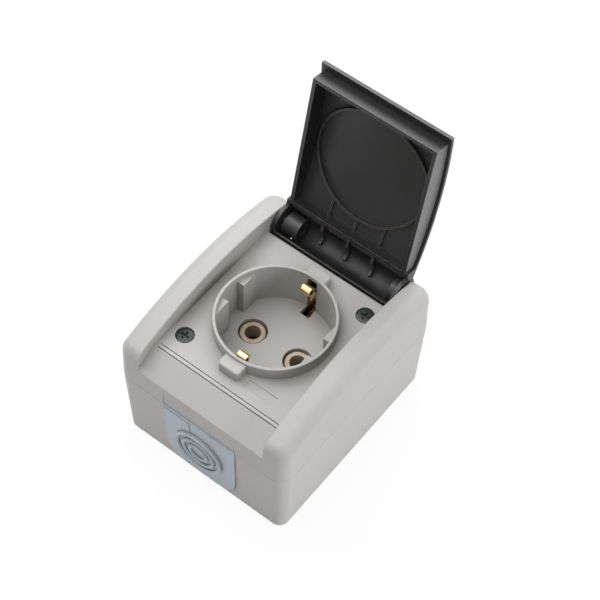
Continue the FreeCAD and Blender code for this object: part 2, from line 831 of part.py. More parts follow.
def make_terminal_clamp(side):
    """Brass screw clamp with its wire hole and screw hole."""
    x0, x1 = sorted((side * clamp_inner_x, side * (clamp_inner_x + clamp_length)))
    half = clamp_width / 2
    top = clamp_foot_z + clamp_height
    clamp = block(x0, x1, well_y - half, well_y + half, clamp_foot_z, top)
    clamp = clamp.makeChamfer(0.4, edges_where(clamp, lambda p: abs(p.z - top) < 0.001))
    clamp = clamp.cut(cross_bar(clamp_wire_r, x0 - 1, x1 + 1, well_y, clamp_wire_z))
    hole = post(terminal_screw_r + screw_hole_gap, (x0 + x1) / 2, well_y, clamp_wire_z, top + 1)
    return solid_of(clamp.cut(hole))


def slotted_screw(x, y, foot_z, head_z, shank_r, head_r, head_height):
    """Cheese-head screw with a straight slot."""
    top = head_z + head_height
    points = [(0, foot_z), (shank_r - 0.3, foot_z), (shank_r, foot_z + 0.6), (shank_r, head_z),
              (head_r, head_z), (head_r, top - 0.3), (head_r - 0.3, top), (0, top)]
    screw = turned(points, V(x, y, 0), V(0, 0, 1))
    slot = block(x - head_r - 1, x + head_r + 1, y - 0.4, y + 0.4, top - head_height * 0.5, top + 1)
    return solid_of(screw.cut(slot))


def make_terminal_screws():
    """One screw in each terminal clamp."""
    x = clamp_inner_x + clamp_length / 2
    return Part.makeCompound([slotted_screw(side * x, well_y, terminal_screw_foot_z, terminal_head_z,
                                            terminal_screw_r, terminal_head_r, terminal_head_height)
                              for side in (-1, 1)])


def strip_points(path, thickness):
    """Outline of a strip of constant thickness along a path of (y, z) points."""
    left = []
    right = []
    for i, (y, z) in enumerate(path):
        normals = []
        for a, b in ((i - 1, i), (i, i + 1)):
            if a >= 0 and b < len(path):
                dy = path[b][0] - path[a][0]
                dz = path[b][1] - path[a][1]
                run = math.hypot(dy, dz)
                normals.append((-dz / run, dy / run))
        ny = sum(n[0] for n in normals)
        nz = sum(n[1] for n in normals)
        size = math.hypot(ny, nz)
        miter = thickness / size if len(normals) == 2 else thickness / 2
        left.append((y + ny / size * miter, z + nz / size * miter))
        right.append((y - ny / size * miter, z - nz / size * miter))
    return left + right[::-1]


def earth_arm(side):
    """Arm that rises behind the collar and leans in to its rolled nose."""
    mean_r = (nose_r + nose_eye_r) / 2
    away = V(0, nose_reach - arm_y, nose_z - arm_bend_z)
    lean = math.atan2(away.z, away.y)
    offset = math.asin(mean_r / away.Length)
    reach = away.Length * math.cos(offset)
    touch_y = arm_y + reach * math.cos(lean - offset)
    touch_z = arm_bend_z + reach * math.sin(lean - offset)
    half = strip_thickness / 2
    path = [(arm_y, carrier_top_z + half), (arm_y, arm_bend_z), (touch_y, touch_z)]
    points = [(well_y + side * y, z) for y, z in strip_points(path, strip_thickness)]
    arm = side_profile(points, -strip_width / 2, strip_width / 2)
    nose_at = well_y + side * nose_reach
    nose = cross_bar(nose_r, -strip_width / 2, strip_width / 2, nose_at, nose_z)
    eye = cross_bar(nose_eye_r, -strip_width, strip_width, nose_at, nose_z)
    return arm.fuse(nose).cut(eye)


def make_earth_bracket():
    """One-piece brass strip: base on the carrier, two arms, rolled noses."""
    reach = arm_y + strip_thickness / 2
    half = strip_width / 2
    base = block(-half, half, well_y - reach, well_y + reach, carrier_top_z, bracket_top_z)
    bracket = fuse_all(base, [earth_arm(-1), earth_arm(1)])
    bracket = bracket.cut(post(rivet_r + screw_hole_gap, 0, well_y, 0, bracket_top_z + 1))
    hole = post(earth_screw_r + screw_hole_gap, 0, well_y - earth_screw_dy, 0, bracket_top_z + 1)
    return solid_of(bracket.cut(hole))


def make_earth_clamp_plate():
    """Pressure plate under the earth screw."""
    y = well_y - earth_screw_dy
    half_x = earth_plate_length / 2
    half_y = earth_plate_width / 2
    plate = rounded_slab(half_x, half_y, 0.6, bracket_top_z, bracket_top_z + earth_plate_thickness)
    plate.translate(V(0, y, 0))
    return solid_of(plate.cut(post(earth_screw_r + screw_hole_gap, 0, y, 0, plate_z)))


def make_earth_clamp_screw():
    """Earth terminal screw."""
    head_z = bracket_top_z + earth_plate_thickness
    return slotted_screw(0, well_y - earth_screw_dy, earth_screw_end_z, head_z, earth_screw_r,
                         earth_head_r, earth_head_height)


def make_retaining_plate():
    """Thin plate under the carrier."""
    half_x = carrier_length / 2 - retainer_inset
    half_y = carrier_width / 2 - retainer_inset
    plate = rounded_slab(half_x, half_y, carrier_corner_r - 1, retainer_z, carrier_foot_z)
    plate.translate(V(0, well_y, 0))
    for x, y in carrier_screw_spots():
        plate = plate.cut(post(carrier_screw_r + pocket_gap, x, y, 0, carrier_top_z))
    return solid_of(plate.cut(post(rivet_r + screw_hole_gap, 0, well_y, 0, carrier_top_z)))


def make_carrier_rivet():
    """Rivet that holds plate, carrier and earth bracket together."""
    shank = post(rivet_r, 0, well_y, retainer_z - rivet_head_height, bracket_top_z + rivet_head_height)
    foot = post(rivet_head_r, 0, well_y, retainer_z - rivet_head_height, retainer_z)
    head = post(rivet_head_r, 0, well_y, bracket_top_z, bracket_top_z + rivet_head_height)
    rivet = fuse_all(shank, [foot, head])
    top = bracket_top_z + rivet_head_height
    return solid_of(rivet.makeFillet(0.5, edges_where(rivet, lambda p: abs(p.z - top) < 0.001)))


def make_carrier_screws():
    """Screws that hold the insert on the posts of the box."""
    return Part.makeCompound([slotted_screw(x, y, carrier_screw_end_z, carrier_top_z, carrier_screw_r,
                                            carrier_screw_head_r, carrier_screw_head)
                              for x, y in carrier_screw_spots()])


def make_hinge_pin(side, inner_x):
    """Steel pin with chamfered ends."""
    x0, x1 = sorted((side * inner_x, side * pin_outer_x))
    pin = cross_bar(pin_r, x0, x1, hinge_y, hinge_z)
    ends = edges_where(pin, lambda p: abs(p.x - x0) < 0.001 or abs(p.x - x1) < 0.001)
    return solid_of(pin.makeChamfer(0.3, ends))


def circle_meet(c1, r1, c2, r2, pick):
    """Meeting point of two circles in the side view, the one furthest along pick."""
    gap = c2 - c1
    d = gap.Length
    a = (r1 * r1 - r2 * r2 + d * d) / (2 * d)
    h = math.sqrt(r1 * r1 - a * a)
    unit = gap * (1 / d)
    across = V(0, -unit.z, unit.y)
    options = [c1 + unit * a + across * h, c1 + unit * a - across * h]
    return max(options, key=lambda p: p.dot(pick))


def crown_centre():
    """Centre of the lid's crown arc, closed lid, hinge at zero."""
    return V(0, -lid_crown_reach, lid_edge_above_hinge + lid_crown_height - lid_crown_r)


def crown_join(depth):
    """Where the crown runs into the roll, a depth below the outside."""
    return circle_meet(crown_centre(), lid_crown_r - depth, V(0, 0, 0), roll_r - depth, V(0, -1, 0))


def crown_point(reach, depth):
    """Point of the lid's crown arc, a depth below its outside."""
    dy = lid_crown_reach - reach
    r = lid_crown_r - depth
    z = lid_edge_above_hinge + lid_crown_height - lid_crown_r + math.sqrt(r * r - dy * dy)
    return V(0, -reach, z)


def arc_about(centre, start, end):
    """Short arc about a centre."""
    half = (start - centre) + (end - centre)
    middle = centre + half * ((start - centre).Length / half.Length)
    return Part.Arc(start, middle, end).toShape()


def roll_point(angle, depth):
    """Point of the roll round the hinge."""
    a = math.radians(angle)
    r = roll_r - depth
    return V(0, r * math.cos(a), r * math.sin(a))


def crown_arc(start_reach, depth):
    """Crown from a reach to the roll, a depth below the outside."""
    return arc_about(crown_centre(), crown_point(start_reach, depth), crown_join(depth))


def roll_arc(end_angle, depth):
    """Roll from the crown to an angle, a depth below the outside."""
    join = crown_join(depth)
    middle_angle = (math.degrees(math.atan2(join.z, join.y)) + end_angle) / 2
    return Part.Arc(join, roll_point(middle_angle, depth), roll_point(end_angle, depth)).toShape()


def line(start, end):
    """Straight edge."""
    return Part.LineSegment(start, end).toShape()


def section_solid(edges, x0, x1):
    """Closed section drawn out along X."""
    wire = Part.Wire(Part.__sortEdges__(edges))
    shape = Part.Face(wire).extrude(V(x1 - x0, 0, 0))
    shape.translate(V(x0, 0, 0))
    return shape


def lid_plate():
    """Crowned lid plate."""
    edges = [crown_arc(lid_tip_reach, 0), crown_arc(lid_tip_reach, lid_thickness)]
    edges.append(line(crown_point(lid_tip_reach, 0), crown_point(lid_tip_reach, lid_thickness)))
    edges.append(line(crown_join(0), crown_join(lid_thickness)))
    plate = section_solid(edges, -lid_half_width, lid_half_width)

    def outer_rim(p):
        on_top = abs((V(0, p.y, p.z) - crown_centre()).Length - lid_crown_r) < 0.001
        at_side = abs(abs(p.x) - lid_half_width) < 0.001
        at_tip = abs(p.y + lid_tip_reach) < 0.001
        return on_top and (at_side or at_tip)

    return plate.makeFillet(lid_edge_round, edges_where(plate, outer_rim))


def lid_roll():
    """Roll round the hinge, down to its tapered lip."""
    inner_angle = roll_lip_angle + roll_lip_taper
    edges = [roll_arc(roll_lip_angle, 0), roll_arc(inner_angle, lid_thickness)]
    edges.append(line(crown_join(0), crown_join(lid_thickness)))
    edges.append(line(roll_point(roll_lip_angle, 0), roll_point(roll_lip_angle, roll_lip_edge)))
    edges.append(line(roll_point(roll_lip_angle, roll_lip_edge), roll_point(inner_angle, lid_thickness)))
    return section_solid(edges, -lid_half_width, lid_half_width)


def end_disc(side):
    """Disc round the pin at one end of the roll, with the web up to the plate."""
    reach = cross_wall_reach + cross_wall_thickness
    depth = lid_thickness / 2
    back_angle = -180 - math.degrees(math.asin(lid_edge_above_hinge / roll_r))
    back = roll_point(back_angle, 0)
    foot = V(0, -reach, back.z)
    rim = Part.Arc(roll_point(roll_lip_angle, 0), roll_point((roll_lip_angle + back_angle) / 2, 0), back)
    edges = [crown_arc(reach, depth), roll_arc(roll_lip_angle, depth), rim.toShape(), line(back, foot)]
    edges.append(line(roll_point(roll_lip_angle, depth), roll_point(roll_lip_angle, 0)))
    edges.append(line(foot, crown_point(reach, depth)))
    x0, x1 = sorted((side * disc_inner_x, side * lid_half_width))
    return section_solid(edges, x0, x1)


def under_crown(depth):
    """Everything below the lid's crown surface, a depth down."""
    crown = crown_centre()
    return crown_bar(lid_crown_r - depth, lid_half_width, crown.y, crown.z)


def lid_skirts():
    """Side skirts and the leaning front skirt under the lid."""
    tall = lid_crown_height + 1
    low = lid_edge_above_hinge
    pieces = []
    for side in (-1, 1):
        x0, x1 = sorted((side * lid_skirt_inner, side * lid_skirt_x))
        pieces.append(block(x0, x1, -lid_front_root, -cross_wall_reach, low, tall))
    root = crown_point(lid_front_root, 0).z
    lean = (lid_front_edge - lid_front_root) / (root - low)
    top_reach = lid_front_edge - lean * (tall - low)
    points = [(-lid_front_edge, low), (-top_reach, tall), (-top_reach + lid_front_thickness, tall),
              (-lid_front_edge + lid_front_thickness, low)]
    pieces.append(side_profile(points, -lid_skirt_x, lid_skirt_x))
    wall = block(-lid_skirt_x, lid_skirt_x, -cross_wall_reach - cross_wall_thickness,
                 -cross_wall_reach, low, tall)
    pieces.append(wall)
    limit = under_crown(0.3)
    return [piece.common(limit) for piece in pieces]


def lid_ring():
    """Low ring inside the lid, over the collar."""
    reach = hinge_y - well_y
    tube = post(lid_ring_outer_r, 0, -reach, 0, lid_crown_height + 1)
    inner_r = lid_ring_outer_r - lid_ring_thickness
    tube = tube.cut(post(inner_r, 0, -reach, -1, lid_crown_height + 2))
    return tube.common(under_crown(0.3)).cut(under_crown(lid_thickness + lid_ring_height))


def crown_rib(start, end):
    """Section of a rib under the crown between two reaches."""
    sunk = lid_thickness / 2
    low = lid_thickness + lid_rib_height
    return [arc_about(crown_centre(), crown_point(start, sunk), crown_point(end, sunk)),
            arc_about(crown_centre(), crown_point(start, low), crown_point(end, low)),
            line(crown_point(start, sunk), crown_point(start, low)),
            line(crown_point(end, sunk), crown_point(end, low))]


def roll_rib(start):
    """Section of a rib that follows the lid from a reach into the roll."""
    sunk = lid_thickness / 2
    low = lid_thickness + roll_rib_height
    return [crown_arc(start, sunk), roll_arc(roll_rib_end_angle, sunk),
            crown_arc(start, low), roll_arc(roll_rib_end_angle, low),
            line(crown_point(start, sunk), crown_point(start, low)),
            line(roll_point(roll_rib_end_angle, sunk), roll_point(roll_rib_end_angle, low))]


def lid_ribs():
    """Three stiffening ribs from the ring to the cross wall and on into the roll."""
    inner_r = lid_ring_outer_r - lid_ring_thickness / 2
    reach = hinge_y - well_y
    wall_middle = cross_wall_reach + cross_wall_thickness / 2
    half = lid_rib_thickness / 2
    ribs = []
    for step in (-1, 0, 1):
        x = step * lid_rib_pitch
        start = reach - math.sqrt(inner_r ** 2 - x ** 2)
        ribs.append(section_solid(crown_rib(start, wall_middle), x - half, x + half))
        ribs.append(section_solid(roll_rib(wall_middle), x - half, x + half))
    return ribs


def lid_barrels():
    """Bearing barrels at both ends of the roll, each on a seat against the roll."""
    barrels = []
    for x0, x1 in ((left_barrel_gap - disc_inner_x, -left_barrel_inner_x),
                   (right_barrel_inner_x, disc_inner_x + barrel_sunk)):
        seat = block(x0, x1, 0, roll_r, -roll_r, roll_r)
        seat.rotate(V(0, 0, 0), V(1, 0, 0), open_angle)
        seat = seat.common(block(x0, x1, 0, roll_r, -roll_r, roll_r))
        seat = seat.common(cross_bar(roll_r - lid_thickness / 2, x0, x1, 0, 0))
        barrels.append(cross_bar(barrel_r, x0, x1, 0, 0).fuse(seat))
    return barrels


def make_lid():
    """Whole lid, shown turned open."""
    pieces = [lid_roll(), lid_ring()] + lid_skirts() + lid_barrels() + [end_disc(-1), end_disc(1)]
    lid = fuse_all(lid_plate(), pieces)
    for rib in lid_ribs():
        lid = lid.fuse(rib)
    lid = lid.cut(cross_bar(pin_r + pin_gap, -lid_half_width - 1, lid_half_width + 1, 0, 0))
    spring_room = cross_bar(spring_bore_r, -lid_half_width - 1, -left_barrel_inner_x - left_barrel_cap, 0, 0)
    lid = lid.cut(spring_room)
    lid.rotate(V(0, 0, 0), V(1, 0, 0), -open_angle)
    lid = lid.cut(spring_window())
    lid.translate(hinge)
    return solid_of(lid)


def spring_window():
    """Opening in the lower front of the left barrel, where the spring leg leaves it."""
    x0 = -disc_inner_x
    x1 = -left_barrel_inner_x - left_barrel_cap
    window = block(x0, x1, -roll_inner_r, 0, -roll_inner_r, -window_drop)
    return window.common(cross_bar(roll_inner_r, x0, x1, 0, 0))


def make_lid_spring():
    """Torsion spring round the left pin: coils, one leg out to the lid, one beside the pin."""
    coil_length = spring_turns * spring_pitch
    path = Part.makeHelix(spring_pitch, coil_length, spring_mean_r)
    start = V(spring_mean_r, 0, 0)
    turn = 2 * math.pi * spring_turns
    out = V(math.cos(turn), math.sin(turn), 0)
    end = out * spring_mean_r + V(0, 0, coil_length)
    heading = V(0, 2 * math.pi * spring_mean_r, spring_pitch)
    ring = Part.Wire([Part.makeCircle(spring_wire_r, start, heading)])
    coil = Part.Wire(path.Edges).makePipeShell([ring], True, True)
    leg_end = out * (roll_inner_r - spring_leg_gap) + V(0, 0, coil_length)
    tang_end = start + V(0, 0, -(cheek_inner_x + spring_start_x) + spring_wire_r)
    pieces = [round_bar(spring_wire_r, end, leg_end), round_bar(spring_wire_r, start, tang_end),
              Part.makeSphere(spring_wire_r, start), Part.makeSphere(spring_wire_r, end)]
    spring = coil.fuse(pieces)
    spring.rotate(V(0, 0, 0), V(0, 0, 1), spring_leg_angle - math.degrees(turn))
    spring.rotate(V(0, 0, 0), V(1, 1, 1), 120)
    spring.translate(hinge + V(spring_start_x, 0, 0))
    return solid_of(spring)


def save(name, shape):
    """Write one node and report its size."""
    shape.exportStep("parts/" + name + ".step")
    volumes = [round(s.Volume, 1) for s in shape.Solids]
    print(name, "valid" if shape.isValid() else "NOT VALID", volumes)


def main():
    os.makedirs("parts", exist_ok=True)
    save("back_box", make_back_box())
    save("cover_gasket", make_cover_gasket())
    save("front_cover", make_front_cover())
    save("cover_screws", make_cover_screws())
    save("cover_screw_seals", make_cover_screw_seals())
    save("entry_grommet", make_grommet())
    save("insert_carrier", make_insert_carrier())
    save("contact_sleeve_left", make_contact_sleeve(-1))
    save("contact_sleeve_right", make_contact_sleeve(1))
    save("terminal_clamp_left", make_terminal_clamp(-1))
    save("terminal_clamp_right", make_terminal_clamp(1))
    save("terminal_screws", make_terminal_screws())
    save("earth_bracket", make_earth_bracket())
    save("earth_clamp_plate", make_earth_clamp_plate())
    save("earth_clamp_screw", make_earth_clamp_screw())
    save("retaining_plate", make_retaining_plate())
    save("carrier_rivet", make_carrier_rivet())
    save("carrier_screws", make_carrier_screws())
    save("hinge_pin_left", make_hinge_pin(-1, left_pin_inner_x))
    save("hinge_pin_right", make_hinge_pin(1, right_pin_inner_x))
    save("lid_spring", make_lid_spring())
    save("lid", make_lid())


main()
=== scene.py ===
import json
import math

import bmesh
import bpy
from mathutils import Matrix, Vector


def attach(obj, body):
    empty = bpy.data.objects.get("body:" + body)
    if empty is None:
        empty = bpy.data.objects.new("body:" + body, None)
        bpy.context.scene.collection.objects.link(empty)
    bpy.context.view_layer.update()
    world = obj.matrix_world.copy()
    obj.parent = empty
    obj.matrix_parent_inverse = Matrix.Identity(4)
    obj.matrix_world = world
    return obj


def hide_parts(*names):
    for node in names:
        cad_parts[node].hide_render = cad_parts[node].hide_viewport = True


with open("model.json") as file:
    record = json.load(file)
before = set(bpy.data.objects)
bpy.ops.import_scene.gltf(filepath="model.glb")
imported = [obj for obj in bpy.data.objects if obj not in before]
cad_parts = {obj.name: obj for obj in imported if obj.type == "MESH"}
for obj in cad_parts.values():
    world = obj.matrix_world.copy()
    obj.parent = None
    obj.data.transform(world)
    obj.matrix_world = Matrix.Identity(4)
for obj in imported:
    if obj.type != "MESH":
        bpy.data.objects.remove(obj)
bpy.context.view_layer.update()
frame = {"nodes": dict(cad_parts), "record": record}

MM = 0.001

# Camera that the photograph was solved for: degrees, millimetres and pixels of the 600 pixel frame
AZIMUTH = 35.889
ELEVATION = 55.534
ROLL = 2.472
DISTANCE = 603.721
TARGET_RIGHT = 8.334
TARGET_UP = 21.978
TARGET_HEIGHT = 25.0
FOCAL_PX = 1789.164
CENTRE_X_PX = 304.088
CENTRE_Y_PX = 294.622
FRAME_PX = 600.0
SENSOR_WIDTH = 36.0

# Outer face of the lid's side skirts from the middle, and what still counts as that face, millimetres
LID_SKIRT_X = 24.1
LID_SKIRT_BAND = 0.3

# Skins: sharpest bend still shaded smooth in degrees, and the gap that is merged in metres
SMOOTH_BEND = 32.0
MERGE_GAP = 2e-6

# Floor: half its side and its depth below the box in metres, its own white share as the eye sees it
FLOOR_REACH = 3.0
FLOOR_DROP = 0.0004
FLOOR_WHITE_SHARE = 0.92

# Strength of the surroundings as light on the socket
WORLD_LIGHT = 0.045

# Soft square lamps: name, place and side in metres, power in watts, whether gloss shows the lamp
STUDIO_LAMPS = (
    ("softbox_top", (0.0, 0.0, 1.2), 0.8, 5.8, True),
    ("softbox_left", (-0.75, 0.0, 0.95), 0.8, 7.1, True),
    ("softbox_back", (-0.38, 0.85, 0.68), 0.8, 7.8, True),
    ("softbox_right", (1.05, 0.25, 0.35), 0.6, 8.3, False),
    ("fill_front", (0.0, -0.75, 0.95), 0.8, 2.9, True),
)
LAMP_AIM = (0.0, 0.0, 0.04)

# Solids that show, so each gets a smooth skin
SHOWN_SOLIDS = (
    "front_cover", "back_box", "lid", "entry_grommet", "cover_screws", "insert_carrier",
    "earth_bracket", "contact_sleeve_left", "contact_sleeve_right", "hinge_pin_left",
    "hinge_pin_right", "lid_spring",
)


class Field:
    """A number, colour or direction in one node tree; arithmetic on it adds Math nodes."""

    def __init__(self, nodes, socket):
        self.nodes = nodes
        self.socket = socket

    def _math(self, operation, *values):
        node = self.nodes.node("ShaderNodeMath", {"operation": operation}, dict(enumerate(values)))
        return self.nodes.out(node)

    def __add__(self, other):
        return self._math("ADD", self, other)

    __radd__ = __add__

    def __mul__(self, other):
        return self._math("MULTIPLY", self, other)

    __rmul__ = __mul__

    def __sub__(self, other):
        return self._math("SUBTRACT", self, other)

    def __rsub__(self, other):
        return self._math("SUBTRACT", other, self)

    def __gt__(self, other):
        return self._math("GREATER_THAN", self, other)

    def __lt__(self, other):
        return self._math("LESS_THAN", self, other)

    def share(self):
        """The number kept between 0 and 1."""
        return self._math("MINIMUM", self._math("MAXIMUM", self, 0.0), 1.0)


class Nodes:
    """Adds nodes to one node tree."""

    def __init__(self, tree):
        self.tree = tree

    def node(self, kind, settings, values):
        """A node with its settings made first, then the values or links of its sockets."""
        node = self.tree.nodes.new(kind)
        for key, value in settings.items():
            setattr(node, key, value)
        for key, value in values.items():
            self.put(node.inputs[key], value)
        return node

    def put(self, socket, value):
        """Link a field to a socket, or set its plain value."""
        if isinstance(value, Field):
            self.tree.links.new(value.socket, socket)
        else:
            socket.default_value = value

    def out(self, node, key=0):
        """One output of a node."""
        return Field(self, node.outputs[key])

    def seen(self):
        """1 for rays from the eye, also by way of gloss or glass, and 0 for rays that carry light."""
        path = self.node("ShaderNodeLightPath", {}, {})
        rays = self.out(path, "Is Camera Ray") + self.out(path, "Is Glossy Ray")
        return (rays + self.out(path, "Is Transmission Ray")).share()


class Finish(Nodes):
    """One material with a Principled surface, and what the finishes of the socket are made from."""

    def __init__(self, name, **constants):
        self.material = bpy.data.materials.new(name)
        self.material.use_nodes = True
        super().__init__(self.material.node_tree)
        self.surface = self.tree.nodes["Principled BSDF"]
        for key, value in constants.items():
            self.put(self.surface.inputs[key.replace("_", " ")], value)
        self.place = self.out(self.node("ShaderNodeTexCoord", {}, {}), "Object")

    def feed(self, key, field):
        """Let a field drive one of the surface's sockets."""
        self.put(self.surface.inputs[key], field)

    def noise(self, size_mm, detail, rough):
        """Cloudy value round 0.5 with features of about size_mm."""
        values = {"Vector": self.place, "Scale": 1.0 / (size_mm * MM), "Detail": detail, "Roughness": rough}
        return self.out(self.node("ShaderNodeTexNoise", {}, values), "Fac")

    def blend(self, factor, start, end):
        """Colour between start and end."""
        return self.out(self.node("ShaderNodeMix", {"data_type": "RGBA"}, {0: factor, 6: start, 7: end}), 2)

    def ramp(self, field, low, high):
        """0 up to the low value of a field, 1 from its high value on."""
        values = {"Value": field, "From Min": low, "From Max": high}
        return self.out(self.node("ShaderNodeMapRange", {"clamp": True}, values))

    def recess(self, reach_mm, own=True):
        """1 in the open, falling towards 0 deep in corners, the piece's own or those round it."""
        settings = {"samples": 8, "only_local": own}
        return self.out(self.node("ShaderNodeAmbientOcclusion", settings, {"Distance": reach_mm * MM}), "AO")

    def soft_edge(self, width_mm):
        """Direction of the surface, rounded over its edges."""
        return self.out(self.node("ShaderNodeBevel", {"samples": 6}, {"Radius": width_mm * MM}))

    def edges(self, width_mm):
        """1 along edges and narrow rims, 0 on open faces."""
        facing = self.out(self.node("ShaderNodeNewGeometry", {}, {}), "Normal")
        vectors = {0: self.soft_edge(width_mm), 1: facing}
        along = self.node("ShaderNodeVectorMath", {"operation": "DOT_PRODUCT"}, vectors)
        return self.ramp(1 - self.out(along, "Value"), low=0.01, high=0.20)

    def relief(self, height, depth_mm, strength, soft_mm=None):
        """Bump from a height field, over edges rounded by soft_mm."""
        values = {"Height": height, "Distance": depth_mm * MM, "Strength": strength}
        if soft_mm:
            values["Normal"] = self.soft_edge(soft_mm)
        self.feed("Normal", self.out(self.node("ShaderNodeBump", {}, values)))


def rgb(red, green, blue):
    return (red, green, blue, 1.0)


WHITE = rgb(1.0, 1.0, 1.0)


def moulded_plastic(name, main, streak, painted_corner_shade, rubbed_edge_highlight, reach_mm, roughness, dull, specular):
    """Moulded plastic: fine eroded grain, flow clouding, edges lighter partly from rubbing and partly as a
    painted highlight, and painted shade in its corners.

    The painted shade starts reach_mm away from the corners, and dull makes them rougher.
    """
    m = Finish(name, Specular_IOR_Level=specular)
    flow = m.noise(size_mm=14.0, detail=3.0, rough=0.55)
    grain = m.noise(size_mm=0.32, detail=3.0, rough=0.6)
    speck = m.noise(size_mm=1.0, detail=1.0, rough=0.5)
    cloud = m.ramp(flow * 0.7 + speck * 0.3, low=0.35, high=0.65)
    # Occlusion share, 1 in the open: it paints shade into the corners and makes them rougher
    wide = m.ramp(m.recess(reach_mm) + (flow - 0.5) * 0.2, low=0.1, high=0.9)
    near = m.ramp(m.recess(reach_mm * 0.25), low=0.2, high=0.8)
    unshaded_share = wide * (near * 0.55 + 0.45)
    # Edges lighter in patches: partly rubbing wear, partly a painted edge highlight
    worn = m.edges(width_mm=0.7) * m.ramp(speck, low=0.2, high=0.6)
    face = m.blend(worn, m.blend(cloud, streak, main), rubbed_edge_highlight)
    # Painted shade: deep in recesses the colour goes toward the darker shade colour
    m.colour = m.blend(unshaded_share, painted_corner_shade, face)
    m.feed("Base Color", m.colour)
    m.feed("Roughness", (1 - unshaded_share) * dull + (flow - 0.5) * 0.10 + (grain - 0.5) * 0.06 + roughness)
    m.relief(grain * 0.7 + speck * 0.3, depth_mm=0.03, strength=0.35, soft_mm=0.13)
    return m


def body_plastic(name):
    """Warm light grey of the box and its cover."""
    # The darkest colour given is painted shade for the corners; the edge colour is partly wear, partly a
    # painted highlight
    return moulded_plastic(name, main=rgb(0.425, 0.418, 0.403), streak=rgb(0.405, 0.398, 0.383),
                           painted_corner_shade=rgb(0.315, 0.305, 0.28), rubbed_edge_highlight=rgb(0.52, 0.505, 0.48),
                           reach_mm=14.0, roughness=0.50, dull=0.2, specular=0.5)


def lid_plastic(name):
    """Anthracite of the lid, with a painted light grey sheen on the outer faces of its side skirts."""
    # The darkest colour given is painted shade for the corners; the edge colour is partly wear, partly a
    # painted highlight
    m = moulded_plastic(name, main=rgb(0.010, 0.010, 0.0105), streak=rgb(0.006, 0.006, 0.0065),
                        painted_corner_shade=rgb(0.003, 0.003, 0.003), rubbed_edge_highlight=rgb(0.110, 0.092, 0.084),
                        reach_mm=8.0, roughness=0.42, dull=0.5, specular=0.58)
    facing = m.out(m.node("ShaderNodeNewGeometry", {}, {}), "True Normal")
    across = m.out(m.node("ShaderNodeSeparateXYZ", {}, {"Vector": m.place}), "X")
    sideways = m.out(m.node("ShaderNodeSeparateXYZ", {}, {"Vector": facing}), "X")
    outward = across * sideways
    inner_bound = (LID_SKIRT_X - LID_SKIRT_BAND) * MM
    outer_bound = (LID_SKIRT_X + LID_SKIRT_BAND) * MM
    skirt_face = (outward > inner_bound) * (outward < outer_bound)
    # Painted sheen: the outer skirt faces go light grey in patches, standing in for a grazing reflection
    skirt_painted_sheen = skirt_face * (m.noise(size_mm=9.0, detail=3.0, rough=0.6) * 0.6 + 0.65)
    m.feed("Base Color", m.blend(skirt_painted_sheen.share(), m.colour, rgb(0.12, 0.119, 0.12)))
    return m


def contact_brass(name):
    """Rolled brass strip: drawn lines, warm tarnish in patches, painted shade down in its slots."""
    m = Finish(name, Metallic=1.0)
    drawn = m.noise(size_mm=0.6, detail=2.0, rough=0.6)
    bright = m.ramp(m.noise(size_mm=2.5, detail=3.0, rough=0.6), low=0.35, high=0.7)
    metal = m.blend(bright, rgb(0.74, 0.50, 0.22), rgb(0.90, 0.71, 0.38))
    # Painted shade: the brass goes near black where other pieces close round it in the slots
    slot_lit_share = m.ramp(m.recess(reach_mm=3.0, own=False), low=0.4, high=0.85)
    m.feed("Base Color", m.blend(slot_lit_share, rgb(0.05, 0.03, 0.012), metal))
    m.feed("Roughness", bright * -0.10 + (drawn - 0.5) * 0.12 + 0.30)
    m.relief(drawn, depth_mm=0.02, strength=0.25, soft_mm=0.08)
    return m


def fixing_steel(name):
    """Zinc plated steel with a dull crystalline variation."""
    m = Finish(name, Metallic=1.0)
    patch = m.noise(size_mm=0.8, detail=3.0, rough=0.6)
    bright = m.ramp(patch, low=0.3, high=0.7)
    m.feed("Base Color", m.blend(bright, rgb(0.496, 0.496, 0.508), rgb(0.62, 0.62, 0.62)))
    m.feed("Roughness", (patch - 0.5) * 0.2 + 0.32)
    m.relief(patch, depth_mm=0.01, strength=0.3)
    return m


def screw_black(name):
    """Black-green finish of the cover screws, worn a little lighter in patches."""
    m = Finish(name)
    patch = m.noise(size_mm=0.9, detail=3.0, rough=0.6)
    worn = m.ramp(patch, low=0.35, high=0.75)
    m.feed("Base Color", m.blend(worn, rgb(0.006, 0.010, 0.009), rgb(0.020, 0.030, 0.028)))
    m.feed("Roughness", (patch - 0.5) * 0.3 + 0.42)
    m.relief(patch, depth_mm=0.05, strength=0.4, soft_mm=0.1)
    return m


def carrier_cream(name):
    """Fired cream carrier with fine speckle, painted shade down in its bores."""
    m = Finish(name)
    speck = m.noise(size_mm=0.35, detail=3.0, rough=0.7)
    cloud = m.noise(size_mm=3.0, detail=2.0, rough=0.5)
    pale = m.ramp(speck * 0.6 + cloud * 0.4, low=0.35, high=0.65)
    body = m.blend(pale, rgb(0.41, 0.325, 0.235), rgb(0.55, 0.445, 0.34))
    # Painted shade: the cream goes dark down in the bores
    in_light = m.ramp(m.recess(reach_mm=5.0), low=0.25, high=0.8)
    m.feed("Base Color", m.blend(in_light, rgb(0.05, 0.035, 0.02), body))
    m.feed("Roughness", (speck - 0.5) * 0.2 + 0.62)
    m.relief(speck, depth_mm=0.03, strength=0.4, soft_mm=0.15)
    return m


